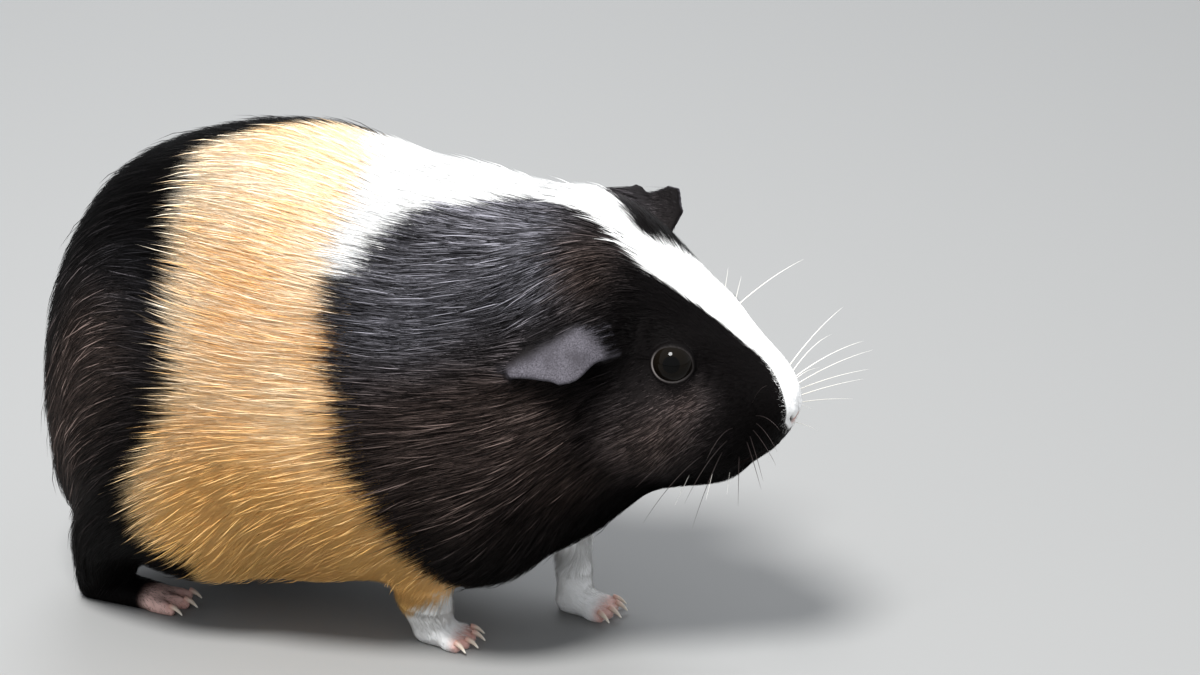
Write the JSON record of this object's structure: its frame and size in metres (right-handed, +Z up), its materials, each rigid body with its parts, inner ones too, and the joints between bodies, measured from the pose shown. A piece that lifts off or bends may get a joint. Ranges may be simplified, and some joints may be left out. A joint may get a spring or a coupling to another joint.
{
  "type": "guinea pig",
  "caption": "Still life-size guinea pig with a short smooth black, tan and white coat, walking with its rump high, head low and one foreleg ahead of the other.",
  "frame": {"origin": "on the floor under the middle of the animal's bounding box", "axes": "+X towards the nose, +Y towards the animal's left side, +Z up"},
  "size_m": [0.221, 0.1127, 0.138],
  "materials": {
    "coat_black": "glossy black fur with a brown cast",
    "coat_tan": "soft orange-tan fur with paler tips",
    "coat_white": "soft white fur",
    "ear_skin": "velvety slate-grey skin with very short hair",
    "foot_skin": "bare pink skin",
    "eye_black": "wet, glossy and nearly black",
    "claw_horn": "pale horn"
  },
  "bodies": {
    "root": {"claw_fore_left_1": "claw_horn", "claw_fore_left_2": "claw_horn", "claw_fore_left_3": "claw_horn", "claw_fore_left_4": "claw_horn", "claw_fore_right_1": "claw_horn", "claw_fore_right_2": "claw_horn", "claw_fore_right_3": "claw_horn", "claw_fore_right_4": "claw_horn", "claw_hind_left_1": "claw_horn", "claw_hind_left_2": "claw_horn", "claw_hind_left_3": "claw_horn", "claw_hind_right_1": "claw_horn", "claw_hind_right_2": "claw_horn", "claw_hind_right_3": "claw_horn", "ear_left": "ear_skin", "ear_right": "ear_skin", "eye_left": "eye_black", "eye_right": "eye_black", "forefoot_left": "coat_white", "forefoot_right": "coat_white", "foreleg_left": "coat_white", "foreleg_right": "coat_tan", "head": "coat_black", "hindfoot_left": "foot_skin", "hindfoot_right": "foot_skin", "hindleg_left": "coat_black", "hindleg_right": "coat_black", "neck": "coat_black", "trunk": "coat_tan"}
  },
  "joints": []
}
